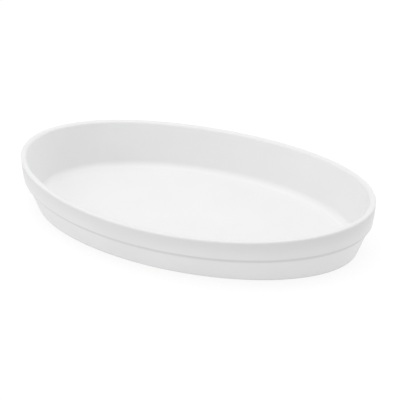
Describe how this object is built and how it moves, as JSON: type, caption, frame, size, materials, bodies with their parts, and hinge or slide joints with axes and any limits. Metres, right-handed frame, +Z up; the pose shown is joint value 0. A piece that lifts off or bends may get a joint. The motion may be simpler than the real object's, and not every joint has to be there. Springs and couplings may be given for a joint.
{
  "type": "gratin dish",
  "caption": "Oval white glazed ceramic gratin dish with a rounded lip, a raised collar under the rim, a tapering body, a flat inner floor with a coved edge and a foot ring.",
  "frame": {"origin": "on the table, under the middle of the dish", "axes": "+X along the length of the oval, +Y across it, +Z up out of the open side"},
  "size_m": [0.3, 0.175, 0.0455],
  "materials": {
    "white_glaze": "satin"
  },
  "bodies": {
    "root": {"gratin_dish": "white_glaze"}
  },
  "joints": []
}
